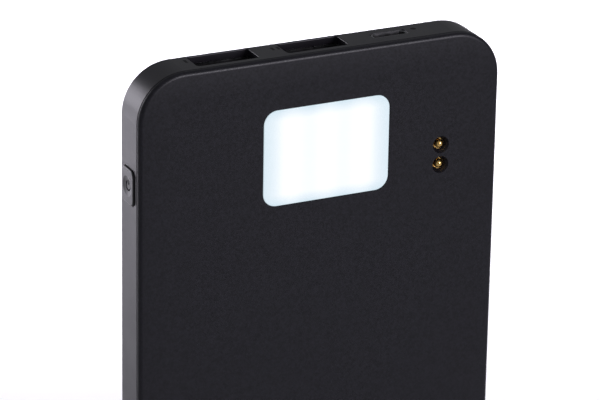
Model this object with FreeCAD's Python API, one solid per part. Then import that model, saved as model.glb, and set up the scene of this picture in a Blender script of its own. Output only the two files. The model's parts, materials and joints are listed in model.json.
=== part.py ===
import FreeCAD, Part
import math
import os

os.makedirs("parts", exist_ok=True)

# Slim power bank with two USB-A outputs, a micro-USB input, a lamp window and two spring contacts
# on its front, and a push button on its left side.
# Millimetres. It stands upright: X is its width, the front faces -Y, +Z is up.
# The origin is the middle of the bottom. Places across the thickness are given as a depth
# behind the front face.

# Enclosure
WIDTH = 78.5
HEIGHT = 145.0
THICKNESS = 9.5
CORNER = 9.9            # outline corner radius
WALL = 1.5
BACK_WALL = 1.0
BACK_EDGE = 1.0         # rounding between the back and the sides
FACE = 1.5              # front cover thickness
COVER_EDGE = 1.1        # depth of the cover's side, down to the parting line
EDGE_RADIUS = 0.9       # rounding between the cover's side and its face
CROWN_RADIUS = 70.0     # towards its edges the face falls away on this radius
CROWN_SLOPE = 4.0       # degrees, where the crown meets the rounding
GROOVE = 0.2            # gap of the parting line
RIM = 0.7               # width of the shell's rim outside the cover's seat
SEAT_GAP = 0.1
RIM_CHAMFER = 0.15
SLIDE_GAP = 0.1         # between a socket and the wall it looks through

FRONT = -THICKNESS / 2
INSIDE_BACK = THICKNESS - BACK_WALL
INSIDE_TOP = HEIGHT - WALL
INSIDE_X = WIDTH / 2 - WALL
MID_Z = HEIGHT / 2
RIM_DEPTH = COVER_EDGE + GROOVE

# Snap fit between the cover's lip and the shell: (side, height) and places along the bottom
LIP = 1.0
LIP_GAP = 0.15
LIP_END = 3.0
LIP_USB_RELIEF = 7.4    # half width of the gaps for the USB-A sockets
LIP_BUTTON_RELIEF = 5.4
LIP_RELIEF_DROP = 5.0
SNAP_LENGTH = 8.0
SNAP_DEPTH = (2.2, 2.9)
SNAP_BEAD = 0.45
SNAP_RECESS = 0.6
SNAP_SLACK = 0.15
SNAP_SIDES = ((-1, 25.0), (-1, 80.0), (1, 25.0), (1, 80.0), (1, 112.0))
SNAP_BOTTOM = (-22.0, 22.0)

# Ribs and bosses inside the shell
RIB = 1.0
RIB_FRONT = 4.6
SIDE_RIBS_Z = (18.0, 46.0, 94.0)
FOOT_RIBS_X = (-20.0, 20.0)
DIVIDER = (18.0, 5.6, 105.2, 106.0)     # length, front depth, lower and upper height
RIB_GAP = 0.4                           # between a rib and the cell
BOSS_RADIUS = 1.9
BOSS_FLOOR = 0.2

# USB-A sockets in the top
USB_X = (-19.2, 0.1)
USB_DEPTH = 5.55        # depth of the middle of both sockets
USB_CUTOUT = (13.2, 5.6, 0.7)
USB_SHELL = (13.1, 5.72)
USB_SHELL_CORNER = 0.55
USB_SHEET = 0.3
USB_LENGTH = 10.5
MOUTH_Z = INSIDE_TOP - SLIDE_GAP
USB_REAR = MOUTH_Z - USB_LENGTH
CUTOUT_ROUND = 0.25
FINGER_OFFSET = 3.1     # spring fingers, from the socket's middle
FINGER_WINDOW = (2.5, 2.4, 7.6)         # width, start and end above the rear
FINGER = (1.7, 0.22, 0.3, 0.5)          # width, sheet, root and tip gap
FINGER_BEND = {-1: 2.5, 1: 4.5}         # degrees; less on the tongue's side, to stay clear of it
WING = (1.7, 3.0, 5.4)                  # reach, start and end above the rear
TAIL_SLOT = 4.3                         # half width of the slot for the contacts' tails
TONGUE_WIDTH = 11.1
TONGUE_THICKNESS = 1.84
TONGUE_TOP = MOUTH_Z - 1.4
TONGUE_DEPTH = USB_DEPTH - USB_SHELL[1] / 2 + USB_SHEET + 0.3
TONGUE_BASE = 2.0
TONGUE_BEVEL = 0.4
USB_CONTACT_X = (-3.5, -1.0, 1.0, 3.5)
USB_CONTACT = (1.0, 0.2)                # width and sheet
USB_FOOT = (0.3, 2.2)                   # start and end below the rear

# Micro-USB socket in the top, flush with it
MICRO_X = 16.8
MICRO_FRONT = 4.25      # depth of the shell's front
MICRO_SHELL = (7.5, 2.35)
MICRO_SLANT = 0.7       # its two back corners are cut off
MICRO_SHEET = 0.25
MICRO_CORNER = 0.2
MICRO_CUTOUT = (7.7, 2.55, 0.3)
MICRO_ROUND = 0.15
MICRO_MOUTH = HEIGHT - 0.15
MICRO_LENGTH = 6.6
MICRO_REAR = MICRO_MOUTH - MICRO_LENGTH
MICRO_SURFACE = MICRO_FRONT + MICRO_SHEET + 1.0     # depth of the tongue's contact face
MICRO_TONGUE = (3.6, 0.6, 1.5, 1.0)     # width, thickness, base length, tip gap
MICRO_WING = (1.3, 1.6, 3.4)            # reach, start and end above the rear
MICRO_PINS = 5
MICRO_PITCH = 0.65
MICRO_CONTACT = (0.4, 0.12)
MICRO_FOOT = (0.2, 1.3)

# Printed marks beside the sockets: one bar, two bars and a dot
MARK_X = (-26.9, -7.7, 22.6)
MARK_DEPTH = 6.1
MARK_BAR = (0.6, 1.6)
MARK_STEP = 1.2
MARK_DOT_RADIUS = 0.6
MARK_INSET = 0.2
MARK_SINK = 0.02

# Main board
BOARD_FRONT = 3.7
BOARD_THICKNESS = 1.0
BOARD_BACK = BOARD_FRONT + BOARD_THICKNESS
BOARD_X = 36.0
BOARD_LOW = 107.0
BOARD_HIGH = 143.1
BOARD_CORNER = 7.5
BOARD_GAP = 0.1         # round the sockets
SCREW_PLACES = ((-33.0, 110.5), (33.0, 110.5), (-33.0, 139.5), (33.0, 139.5))
SCREW_RADIUS = 0.75
SCREW_GAP = 0.05
SCREW_HOLE_GAP = 0.2
SCREW_HEAD = (1.5, 0.7, 0.3)            # radius, height, edge rounding
SCREW_CROSS = (0.9, 0.16, 0.4)          # half length, half width, depth
SCREW_TIP_GAP = 0.6

# Parts on the back of the board: (x, z) or (x, z, width, height)
INDUCTOR_PLACES = ((-20.0, 122.5), (-9.5, 122.5))
INDUCTOR_SIZE = (6.8, 2.8, 0.9)         # side, height, bevel
CHIP_PLACES = ((1.5, 120.5, 3.9, 6.2), (11.0, 120.5, 3.9, 6.2), (18.5, 127.5, 3.0, 3.4))
CHIP_HEIGHT = 1.4
CHIP_DOT = (0.25, 0.7, 0.1)             # radius, distance from the corner, depth
CHIP_LEAD_PITCH = 1.27
CHIP_LEAD = (0.2, 0.2)                  # half width and sheet
CHIP_LEAD_REACH = (0.3, 0.5, 1.0)       # start of the drop, its far side, tip of the foot
CHIP_LEAD_HEIGHT = 0.8
CAPACITOR_SIZE = (1.2, 2.0, 1.2)
CAPACITOR_COUNT = 4
CAPACITOR_STEP = 2.0
CAPACITOR_DROP = 5.4    # below their inductor
TANTALUM_PLACES = ((-28.0, 126.5), (33.0, 126.5))
TANTALUM_SIZE = (4.3, 7.3, 2.6)

# Lamp
LAMP_X = 1.0
LAMP_Z = HEIGHT - 20.63
LAMP_SIZE = (27.5, 20.15)
LAMP_CORNER = 2.9
LAMP_GAP = 0.05
LAMP_SUNK = 0.04
LAMP_ROUND = 0.15
LAMP_WINDOW_BEVEL = 0.12
LAMP_FLANGE = 1.45
LAMP_FLANGE_THICKNESS = 0.6
REFLECTOR_WALL = 1.2
REFLECTOR_RELIEF = 0.3
LED_SIZE = (2.8, 3.5, 0.7)
LED_RIM = 0.35
LED_CAVITY = 0.35
LED_COLUMNS = (-7.5, 0.0, 7.5)
LED_ROWS = 5
LED_ROW_STEP = 3.6
LED_LOWEST = 116.2

# Spring contacts
CONTACT_X = 26.44
CONTACT_Z = (HEIGHT - 23.15, HEIGHT - 27.4)
CONTACT_NAMES = ("upper", "lower")
CONTACT_TIP = 0.15      # the tip lies this far behind the front face
CONTACT_TRAVEL = 0.8
PIN_RADIUS = 0.85
PIN_DOME = 0.6          # height of the rounded tip
RECESS_RADIUS = 1.8
RECESS_THROAT = 1.15
RECESS_DEPTH = 1.1
BARREL_RADIUS = 1.3
BARREL_BORE = 1.05
BARREL_MOUTH = 1.65
BARREL_LIP = 0.4
BARREL_FLOOR = 0.3
BARREL_FLANGE = (0.45, 0.4)             # reach and thickness
PIN_GAP = 0.05
COLLAR_START = 2.15
COLLAR_LENGTH = 0.9
SPRING_WIRE = 0.11      # radius
SPRING_GAP = 0.06
SPRING_TURNS = 6
SPRING_PRESSED = 2.25   # room left for the spring when the pin is fully pressed
BARREL_END = COLLAR_START + COLLAR_LENGTH + CONTACT_TRAVEL + SPRING_PRESSED + BARREL_FLOOR

# Power button
BUTTON_DEPTH = 5.03
BUTTON_Z = HEIGHT - 23.5
BUTTON_SIZE = (5.55, 7.4)
BUTTON_CORNER = 1.3
BUTTON_GAP = 0.15
BUTTON_PROUD = 0.4
BUTTON_ROUND = 0.35
BUTTON_OUTER = -WIDTH / 2 - BUTTON_PROUD
BUTTON_FLANGE = (-INSIDE_X + 0.05, 0.7, 0.4, 0.7)   # face, thickness, reach across, reach up
DIMPLE_RADIUS = 2.1
DIMPLE_DEPTH = 0.3
PUSHER_RADIUS = 1.1
PUSHER_GAP = 0.05
ICON_RADIUS = 1.1
ICON_LINE = 0.35
ICON_GAP = 0.85         # opening at the top of the ring
ICON_INLAY = 0.2

# Switch on the board, behind the button
SWITCH_DEPTH = 6.2      # depth of the plunger's axis
SWITCH_X = -35.2        # face of the switch body
SWITCH_SIZE = (3.4, 3.0, 6.0)
SWITCH_BACK = SWITCH_DEPTH + SWITCH_SIZE[1] / 2
PLUNGER_LENGTH = 1.2
PLUNGER = (1.4, 2.6, 0.3)               # depth, height, edge rounding
PLUNGER_ROOT = 0.1
PLUNGER_POCKET = 0.9
PLUNGER_GAP = 0.1
DOME_RADIUS = 1.45
DOME_RISE = 0.85
DOME_SHEET = 0.08
DOME_POCKET = (0.25, 1.5)               # start and end behind the switch's face
DOME_FLOOR = SWITCH_X + DOME_POCKET[1]
BRACKET_SHEET = 0.2
BRACKET_INSET = (0.2, 0.4)              # from the switch's face and from its rear

# Battery
CELL_SIZE = (70.0, 6.2, 93.5)
CELL_LOW = 6.0
CELL_FRONT = 1.8
CELL_EDGE = 1.6
CELL_FOOT_EDGE = 1.0
LEDGE_DEPTH = (6.9, 7.15)
LEDGE_INSET = 3.0
GUARD_LOW = 99.9        # protection board on the cell's top ledge
GUARD_DEPTH = (4.6, 5.4)
GUARD_HEIGHT = 3.4
GUARD_HALF = 18.0
GUARD_CHIPS_X = (-9.0, -4.5, 4.5)
GUARD_CHIP = (3.0, 0.9, 2.4)
TAB_X = (-15.0, 15.0)
TAB_WIDTH = 4.0
TAB_SHEET = 0.15
TAB_REAR = 2.5          # the tab's length behind and in front of the protection board
TAB_FRONT = 2.2
TAB_RISE = 0.4
TAPE = (25.0, 0.95, 0.1)                # width, distance before the board, thickness
ADHESIVE_INSET = 8.0
LEAD_X = {"positive": -6.0, "negative": 6.0}
LEAD_SIDE = {"positive": -1, "negative": 1}
LEAD_RADIUS = 0.65
LEAD_BEND = 2.6
LEAD_SWING = 5.5
LEAD_HEIGHTS = (1.2, 6.2, 9.4, 14.6)    # route corners, above the protection board's low edge
SOLDER_RADIUS = 1.5

# Modelling
OVER = 1.0              # a cutting tool runs this far past a face
SINK = 0.2              # pieces of one moulding overlap this much before they are fused
NEAR = 0.01             # reach when an edge is picked by its place


def vec(x, depth, z):
    """Point at a depth behind the front face."""
    return FreeCAD.Vector(x, FRONT + depth, z)


def block(x0, x1, depth0, depth1, z0, z1):
    """Box between two corners."""
    return Part.makeBox(x1 - x0, depth1 - depth0, z1 - z0, vec(x0, depth0, z0))


def side_block(side, near, far, depth0, depth1, z0, z1):
    """Box on the left (-1) or right (1) side, between two distances from the middle."""
    edges = sorted((side * near, side * far))
    return block(edges[0], edges[1], depth0, depth1, z0, z1)


def round_edges(solid, axis, radius):
    """Round the edges that run along one axis (0, 1 or 2 for X, Y or Z)."""
    edges = []
    for edge in solid.Edges:
        along = edge.Vertexes[0].Point.sub(edge.Vertexes[-1].Point)
        if abs(abs(along[axis]) - along.Length) < NEAR:
            edges.append(edge)
    return solid.makeFillet(radius, edges)


def plate_xz(size, corner, depth0, depth1, x=0.0, z=MID_Z):
    """Rounded plate facing the front."""
    half_x, half_z = size[0] / 2, size[1] / 2
    plate = block(x - half_x, x + half_x, depth0, depth1, z - half_z, z + half_z)
    return round_edges(plate, 1, corner)


def plate_xy(size, corner, z0, z1, x, depth):
    """Rounded plate facing up."""
    half_x, half_y = size[0] / 2, size[1] / 2
    plate = block(x - half_x, x + half_x, depth - half_y, depth + half_y, z0, z1)
    return round_edges(plate, 2, corner)


def plate_yz(size, corner, x0, x1, depth, z):
    """Rounded plate facing the side."""
    half_y, half_z = size[0] / 2, size[1] / 2
    plate = block(x0, x1, depth - half_y, depth + half_y, z - half_z, z + half_z)
    return round_edges(plate, 0, corner)


def rod(radius, x, depth, z, length, direction):
    """Cylinder that starts at a point and runs along a direction."""
    return Part.makeCylinder(radius, length, vec(x, depth, z), FreeCAD.Vector(*direction))


def pin(radius, x, z, depth0, depth1):
    """Cylinder that runs backwards between two depths."""
    return rod(radius, x, depth0, z, depth1 - depth0, (0, 1, 0))


def cap_radius(reach, height):
    """Radius of the sphere whose cap has this radius and height."""
    return (reach ** 2 + height ** 2) / (2 * height)


def edges_within(solid, low, high):
    """Edges that lie wholly inside a box given by two (x, depth, z) corners."""
    found = []
    low, high = vec(*low), vec(*high)
    for edge in solid.Edges:
        box = edge.BoundBox
        inside_x = low.x <= box.XMin and box.XMax <= high.x
        inside_y = low.y <= box.YMin and box.YMax <= high.y
        inside_z = low.z <= box.ZMin and box.ZMax <= high.z
        if inside_x and inside_y and inside_z:
            found.append(edge)
    return found


def edges_at_depth(solid, depth):
    """Edges that lie in one plane parallel to the front face."""
    return edges_within(solid, (-WIDTH, depth - NEAR, -OVER), (WIDTH, depth + NEAR, HEIGHT + OVER))


def inset_plate(inset, depth0, depth1):
    """The enclosure's outline, drawn in by an inset."""
    size = (WIDTH - 2 * inset, HEIGHT - 2 * inset)
    return plate_xz(size, CORNER - inset, depth0, depth1)


def save(name, shape):
    """Write one sub-part."""
    shape.exportStep("parts/" + name + ".step")


# Enclosure ---------------------------------------------------------------------------------

def snap_blocks(reach, slack):
    """Blocks of the snap fit, from just inside the lip to a reach past its outer face."""
    depth0, depth1 = SNAP_DEPTH[0] - slack, SNAP_DEPTH[1] + slack
    half = SNAP_LENGTH / 2 + 2 * slack
    inner, outer = LIP_GAP + LIP / 2, reach - LIP_GAP
    blocks = []
    for side, z in SNAP_SIDES:
        blocks.append(side_block(side, INSIDE_X - inner, INSIDE_X + outer,
                                 depth0, depth1, z - half, z + half))
    for x in SNAP_BOTTOM:
        blocks.append(block(x - half, x + half, depth0, depth1, WALL - outer, WALL + inner))
    return blocks


def mark_solids():
    """Printed marks beside the three sockets."""
    low, high = HEIGHT - MARK_INSET, HEIGHT - MARK_SINK
    width, length = MARK_BAR
    marks = []
    for count, x in enumerate(MARK_X[:2], start=1):
        for index in range(count):
            middle = x + (index - (count - 1) / 2) * MARK_STEP
            marks.append(block(middle - width / 2, middle + width / 2,
                               MARK_DEPTH - length / 2, MARK_DEPTH + length / 2, low, high))
    marks.append(rod(MARK_DOT_RADIUS, MARK_X[2], MARK_DEPTH, low, high - low, (0, 0, 1)))
    return marks


def socket_cutouts():
    """Middle (x, depth), size and edge rounding of the three cut-outs in the top."""
    micro_depth = MICRO_FRONT + MICRO_SHELL[1] / 2
    cutouts = [(x, USB_DEPTH, USB_CUTOUT, CUTOUT_ROUND) for x in USB_X]
    return cutouts + [(MICRO_X, micro_depth, MICRO_CUTOUT, MICRO_ROUND)]


def rear_shell():
    """Tray that makes the back, the sides and the top, with bosses and ribs inside."""
    shell = inset_plate(0.0, RIM_DEPTH, THICKNESS)
    shell = shell.makeFillet(BACK_EDGE, edges_at_depth(shell, THICKNESS))
    shell = shell.makeChamfer(RIM_CHAMFER, edges_at_depth(shell, RIM_DEPTH))
    shell = shell.cut(inset_plate(RIM, RIM_DEPTH - OVER, FACE))
    shell = shell.cut(inset_plate(WALL, FACE - SINK, INSIDE_BACK))
    for x, depth, size, rounding in socket_cutouts():
        shell = shell.cut(plate_xy(size[:2], size[2], INSIDE_TOP - OVER, HEIGHT + OVER, x, depth))
        reach_x, reach_y = size[0] / 2 + NEAR, size[1] / 2 + NEAR
        mouth = edges_within(shell, (x - reach_x, depth - reach_y, HEIGHT - NEAR),
                             (x + reach_x, depth + reach_y, HEIGHT + NEAR))
        shell = shell.makeFillet(rounding, mouth)
    opening = (BUTTON_SIZE[0] + 2 * BUTTON_GAP, BUTTON_SIZE[1] + 2 * BUTTON_GAP)
    shell = shell.cut(plate_yz(opening, BUTTON_CORNER + BUTTON_GAP, -WIDTH / 2 - OVER, -INSIDE_X + OVER,
                               BUTTON_DEPTH, BUTTON_Z))
    for mark in mark_solids():
        pocket = mark.copy()
        pocket.translate(FreeCAD.Vector(0, 0, MARK_SINK))
        shell = shell.cut(mark.fuse(pocket))
    for recess in snap_blocks(SNAP_RECESS, SNAP_SLACK):
        shell = shell.cut(recess)
    return shell.fuse(bosses() + ribs()).removeSplitter()


def bosses():
    """Screw bosses under the main board."""
    made = []
    for x, z in SCREW_PLACES:
        boss = pin(BOSS_RADIUS, x, z, BOARD_BACK, INSIDE_BACK + SINK)
        made.append(boss.cut(pin(SCREW_RADIUS + SCREW_GAP, x, z, BOARD_BACK, INSIDE_BACK - BOSS_FLOOR)))
    return made


def ribs():
    """Ribs that hold the cell in place, and a divider between the cell and the board."""
    half, end = RIB / 2, INSIDE_BACK + SINK
    made = []
    for z in SIDE_RIBS_Z:
        for side in (-1, 1):
            made.append(side_block(side, CELL_SIZE[0] / 2 + RIB_GAP, INSIDE_X + SINK,
                                   RIB_FRONT, end, z - half, z + half))
    length, front, low, high = DIVIDER
    for x in FOOT_RIBS_X:
        made.append(block(x - half, x + half, RIB_FRONT, end, WALL - SINK, CELL_LOW - RIB_GAP))
        made.append(block(x - length / 2, x + length / 2, front, end, low, high))
    return made


def edge_profile():
    """Section of what is cut away outside the cover's rounding and crown, at the left side.

    The crown is tangent to the flat face, and the rounding is tangent to the crown and to the
    side."""
    slope = math.radians(CROWN_SLOPE)
    reach = CROWN_RADIUS * math.sin(slope) + EDGE_RADIUS * (1 - math.sin(slope))

    def crown(angle):
        return point(reach - CROWN_RADIUS * math.sin(angle), CROWN_RADIUS * (1 - math.cos(angle)))

    def point(inset, depth):
        return vec(-WIDTH / 2 + inset, depth, 0)

    start, join = crown(0), crown(slope)
    centre_depth = CROWN_RADIUS * (1 - math.cos(slope)) + EDGE_RADIUS * math.cos(slope)
    turn = (math.pi / 2 + slope) / 2
    middle = point(EDGE_RADIUS * (1 - math.sin(turn)), centre_depth - EDGE_RADIUS * math.cos(turn))
    end = point(0, centre_depth)
    outside = [point(0, COVER_EDGE), point(-OVER, COVER_EDGE), point(-OVER, -OVER), point(reach, -OVER)]
    edges = [Part.Arc(start, crown(slope / 2), join).toShape(), Part.Arc(join, middle, end).toShape()]
    corners = [end] + outside + [start]
    edges += [Part.LineSegment(a, b).toShape() for a, b in zip(corners, corners[1:])]
    return Part.Face(Part.Wire(edges))


def edge_cutters():
    """Tools that round the cover's front edge, one for each quarter of the outline."""
    profile = edge_profile()
    side = profile.copy()
    side.translate(FreeCAD.Vector(0, 0, MID_Z))
    side = side.extrude(FreeCAD.Vector(0, 0, MID_Z - CORNER))
    corner = profile.copy()
    corner.translate(FreeCAD.Vector(0, 0, HEIGHT - CORNER))
    centre = vec(-WIDTH / 2 + CORNER, 0, HEIGHT - CORNER)
    turned = corner.revolve(centre, FreeCAD.Vector(0, 1, 0), 90)
    top = corner.copy()
    top.rotate(centre, FreeCAD.Vector(0, 1, 0), 90)
    top = top.extrude(FreeCAD.Vector(WIDTH / 2 - CORNER, 0, 0))
    upper_left = [side, turned, top]
    middle = vec(0, 0, MID_Z)
    upper = upper_left + [tool.mirror(middle, FreeCAD.Vector(1, 0, 0)) for tool in upper_left]
    return upper + [tool.mirror(middle, FreeCAD.Vector(0, 0, 1)) for tool in upper]


def cover_lip():
    """Lip behind the cover that snaps into the shell, with gaps for the sockets and the button."""
    lip = inset_plate(WALL + LIP_GAP, FACE - SINK, LIP_END)
    lip = lip.cut(inset_plate(WALL + LIP_GAP + LIP, 0.0, THICKNESS))
    for x in USB_X:
        lip = lip.cut(block(x - LIP_USB_RELIEF, x + LIP_USB_RELIEF, FACE, THICKNESS,
                            INSIDE_TOP - LIP_RELIEF_DROP, HEIGHT))
    return lip.cut(block(-WIDTH, -INSIDE_X + LIP_RELIEF_DROP, FACE, THICKNESS,
                         BUTTON_Z - LIP_BUTTON_RELIEF, BUTTON_Z + LIP_BUTTON_RELIEF))


def front_cover():
    """Front plate with its crowned edge, lamp window, contact recesses and snap lip."""
    cover = inset_plate(0.0, 0.0, COVER_EDGE).cut(edge_cutters()).removeSplitter()
    cover = cover.fuse(inset_plate(RIM + SEAT_GAP, COVER_EDGE - SINK, FACE))
    cover = cover.fuse([cover_lip()] + snap_blocks(SNAP_BEAD, 0.0))
    cover = cover.cut(plate_xz(LAMP_SIZE, LAMP_CORNER, -OVER, FACE + OVER, LAMP_X, LAMP_Z))
    half_x, half_z = LAMP_SIZE[0] / 2 + NEAR, LAMP_SIZE[1] / 2 + NEAR
    window = edges_within(cover, (LAMP_X - half_x, -NEAR, LAMP_Z - half_z),
                          (LAMP_X + half_x, NEAR, LAMP_Z + half_z))
    cover = cover.makeChamfer(LAMP_WINDOW_BEVEL, window)
    for z in CONTACT_Z:
        cone = Part.makeCone(RECESS_RADIUS, RECESS_THROAT, RECESS_DEPTH, vec(CONTACT_X, 0, z),
                             FreeCAD.Vector(0, 1, 0))
        cover = cover.cut(cone.fuse(pin(RECESS_THROAT, CONTACT_X, z, RECESS_DEPTH / 2, FACE + OVER)))
    return cover.removeSplitter()


# Lamp --------------------------------------------------------------------------------------

def lamp_diffuser():
    """Opal plate: a plug that fills the window, and a flange behind the cover."""
    plug_size = (LAMP_SIZE[0] - 2 * LAMP_GAP, LAMP_SIZE[1] - 2 * LAMP_GAP)
    plug = plate_xz(plug_size, LAMP_CORNER - LAMP_GAP, LAMP_SUNK, FACE + SINK, LAMP_X, LAMP_Z)
    plug = plug.makeFillet(LAMP_ROUND, edges_at_depth(plug, LAMP_SUNK))
    return plug.fuse(flange_plate(0.0, FACE, FACE + LAMP_FLANGE_THICKNESS)).removeSplitter()


def flange_plate(inset, depth0, depth1):
    """The outline of the diffuser's flange, drawn in by an inset."""
    size = (LAMP_SIZE[0] + 2 * (LAMP_FLANGE - inset), LAMP_SIZE[1] + 2 * (LAMP_FLANGE - inset))
    return plate_xz(size, LAMP_CORNER + LAMP_FLANGE - inset, depth0, depth1, LAMP_X, LAMP_Z)


def lamp_reflector():
    """White frame between the diffuser and the board, relieved for the sockets behind it."""
    flange_back = FACE + LAMP_FLANGE_THICKNESS
    frame = flange_plate(0.0, flange_back, BOARD_FRONT)
    frame = frame.cut(flange_plate(REFLECTOR_WALL, flange_back - OVER, BOARD_FRONT + OVER))
    reach = USB_SHELL[0] / 2 + REFLECTOR_RELIEF
    front = USB_DEPTH - USB_SHELL[1] / 2 - REFLECTOR_RELIEF / 2
    for x in USB_X:
        frame = frame.cut(block(x - reach, x + reach, front, THICKNESS, USB_REAR - REFLECTOR_RELIEF, HEIGHT))
    return frame


def led_places():
    """Centres of the LEDs: columns across, rows up."""
    rows = [LED_LOWEST + LED_ROW_STEP * row for row in range(LED_ROWS)]
    return [(LAMP_X + column, z) for column in LED_COLUMNS for z in rows]


def led_block(x, z, rim, depth0, depth1):
    """Block over one LED's outline, drawn in by a rim."""
    half_x, half_z = LED_SIZE[0] / 2 - rim, LED_SIZE[1] / 2 - rim
    return block(x - half_x, x + half_x, depth0, depth1, z - half_z, z + half_z)


def led_cavity(x, z):
    """Hollow in the front of one LED, which its phosphor fills."""
    face = BOARD_FRONT - LED_SIZE[2]
    return led_block(x, z, LED_RIM, face, face + LED_CAVITY)


def lamp_leds():
    """LED housings."""
    housings = []
    for x, z in led_places():
        housing = led_block(x, z, 0.0, BOARD_FRONT - LED_SIZE[2], BOARD_FRONT)
        housings.append(housing.cut(led_cavity(x, z)))
    return Part.makeCompound(housings)


def lamp_phosphor():
    """Yellow phosphor in each LED."""
    return Part.makeCompound([led_cavity(x, z) for x, z in led_places()])


# Main board --------------------------------------------------------------------------------

def main_board():
    """Circuit board with notches for the sunk sockets."""
    board = block(-BOARD_X, BOARD_X, BOARD_FRONT, BOARD_BACK, BOARD_LOW, BOARD_HIGH)
    corners = []
    for side in (-1, 1):
        corners += edges_within(board, (side * BOARD_X - NEAR, 0, BOARD_HIGH - NEAR),
                                (side * BOARD_X + NEAR, THICKNESS, BOARD_HIGH + NEAR))
    board = board.makeFillet(BOARD_CORNER, corners)
    notches = [(x, USB_SHELL[0], USB_REAR) for x in USB_X] + [(MICRO_X, MICRO_SHELL[0], MICRO_REAR)]
    for x, width, rear in notches:
        half = width / 2 + BOARD_GAP
        board = board.cut(block(x - half, x + half, 0, THICKNESS, rear - BOARD_GAP, HEIGHT))
    for x, z in SCREW_PLACES:
        board = board.cut(pin(SCREW_RADIUS + SCREW_HOLE_GAP, x, z, 0, THICKNESS))
    for z in CONTACT_Z:
        board = board.cut(pin(BARREL_RADIUS + PIN_GAP, CONTACT_X, z, 0, THICKNESS))
    return board


def board_screws():
    """Four pan-head screws with a cross recess."""
    radius, height, rounding = SCREW_HEAD
    half_length, half_width, depth = SCREW_CROSS
    recess = BOARD_FRONT - height + depth
    screws = []
    for x, z in SCREW_PLACES:
        head = pin(radius, x, z, BOARD_FRONT - height, BOARD_FRONT)
        head = head.makeFillet(rounding, edges_at_depth(head, BOARD_FRONT - height))
        shank = pin(SCREW_RADIUS, x, z, BOARD_FRONT - SINK, INSIDE_BACK - SCREW_TIP_GAP)
        cross = block(x - half_length, x + half_length, 0, recess, z - half_width, z + half_width)
        cross = cross.fuse(block(x - half_width, x + half_width, 0, recess, z - half_length, z + half_length))
        screws.append(head.fuse(shank).cut(cross))
    return Part.makeCompound(screws)


def chip(x, z, size_x, size_z, height):
    """Package on the back of the board."""
    return block(x - size_x / 2, x + size_x / 2, BOARD_BACK, BOARD_BACK + height,
                 z - size_z / 2, z + size_z / 2)


def power_inductors():
    """Two shielded inductors with bevelled corners, for the boost and the charge stage."""
    side, height, bevel = INDUCTOR_SIZE
    coils = []
    for x, z in INDUCTOR_PLACES:
        coil = chip(x, z, side, side, height)
        coils.append(coil.makeChamfer(bevel, edges_along_y(coil)))
    return Part.makeCompound(coils)


def edges_along_y(solid):
    """Edges that run from front to back."""
    return [edge for edge in solid.Edges if edge.BoundBox.XLength < NEAR and edge.BoundBox.ZLength < NEAR]


def controller_chips():
    """Boost controller, charge controller and the small microcontroller."""
    radius, inset, depth = CHIP_DOT
    top = BOARD_BACK + CHIP_HEIGHT
    chips = []
    for x, z, size_x, size_z in CHIP_PLACES:
        body = chip(x, z, size_x, size_z, CHIP_HEIGHT)
        dot_x, dot_z = x - size_x / 2 + inset, z + size_z / 2 - inset
        chips.append(body.cut(pin(radius, dot_x, dot_z, top - depth, top + OVER)))
    return Part.makeCompound(chips)


def chip_leads():
    """Gull-wing leads on both long sides of each chip."""
    leads = []
    for x, z, size_x, size_z in CHIP_PLACES:
        count = int((size_z - CHIP_HEIGHT / 2) / CHIP_LEAD_PITCH) + 1
        for side in (-1, 1):
            for index in range(count):
                middle = z + (index - (count - 1) / 2) * CHIP_LEAD_PITCH
                leads.append(gull_wing(x + side * size_x / 2, side, middle))
    return Part.makeCompound(leads)


def gull_wing(face, side, z):
    """One lead: out of the package, down and along the board."""
    half, sheet = CHIP_LEAD
    drop, far, tip = CHIP_LEAD_REACH

    def step(near, reach, low, high):
        edges = sorted((face + side * near, face + side * reach))
        return block(edges[0], edges[1], BOARD_BACK + low, BOARD_BACK + high, z - half, z + half)

    lead = step(0.0, far, CHIP_LEAD_HEIGHT - sheet, CHIP_LEAD_HEIGHT)
    lead = lead.fuse(step(drop, far, 0.0, CHIP_LEAD_HEIGHT))
    return lead.fuse(step(drop, tip, 0.0, sheet)).removeSplitter()


def ceramic_capacitors():
    """Ceramic capacitors: a bank below each inductor."""
    width, length, height = CAPACITOR_SIZE
    parts = []
    for x, z in INDUCTOR_PLACES:
        for index in range(CAPACITOR_COUNT):
            offset = (index - (CAPACITOR_COUNT - 1) / 2) * CAPACITOR_STEP
            parts.append(chip(x + offset, z - CAPACITOR_DROP, width, length, height))
    return Part.makeCompound(parts)


def tantalum_capacitors():
    """Two flat tantalum capacitors that steady the outputs."""
    return Part.makeCompound([chip(x, z, *TANTALUM_SIZE) for x, z in TANTALUM_PLACES])


# USB sockets -------------------------------------------------------------------------------

def usb_a_shell(x):
    """Folded steel shell with four spring fingers, two solder wings and a closed rear."""
    outer = plate_xy(USB_SHELL, USB_SHELL_CORNER, USB_REAR, MOUTH_Z, x, USB_DEPTH)
    inner_size = (USB_SHELL[0] - 2 * USB_SHEET, USB_SHELL[1] - 2 * USB_SHEET)
    shell = outer.cut(plate_xy(inner_size, USB_SHEET, USB_REAR + USB_SHEET, MOUTH_Z + OVER, x, USB_DEPTH))
    reach, low, high = WING
    for side in (-1, 1):
        for offset in (-FINGER_OFFSET, FINGER_OFFSET):
            shell = spring_finger(shell, x + offset, side)
        wall = x + side * USB_SHELL[0] / 2
        edges = sorted((wall - side * USB_SHEET / 2, wall + side * reach))
        shell = shell.fuse(block(edges[0], edges[1], BOARD_FRONT - USB_SHEET, BOARD_FRONT,
                                 USB_REAR + low, USB_REAR + high))
    tails = block(x - TAIL_SLOT, x + TAIL_SLOT,
                  BOARD_BACK - BOARD_GAP, TONGUE_DEPTH + TONGUE_THICKNESS + 2 * SINK,
                  USB_REAR - OVER, USB_REAR + USB_SHEET + BOARD_GAP)
    return shell.cut(tails)


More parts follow.
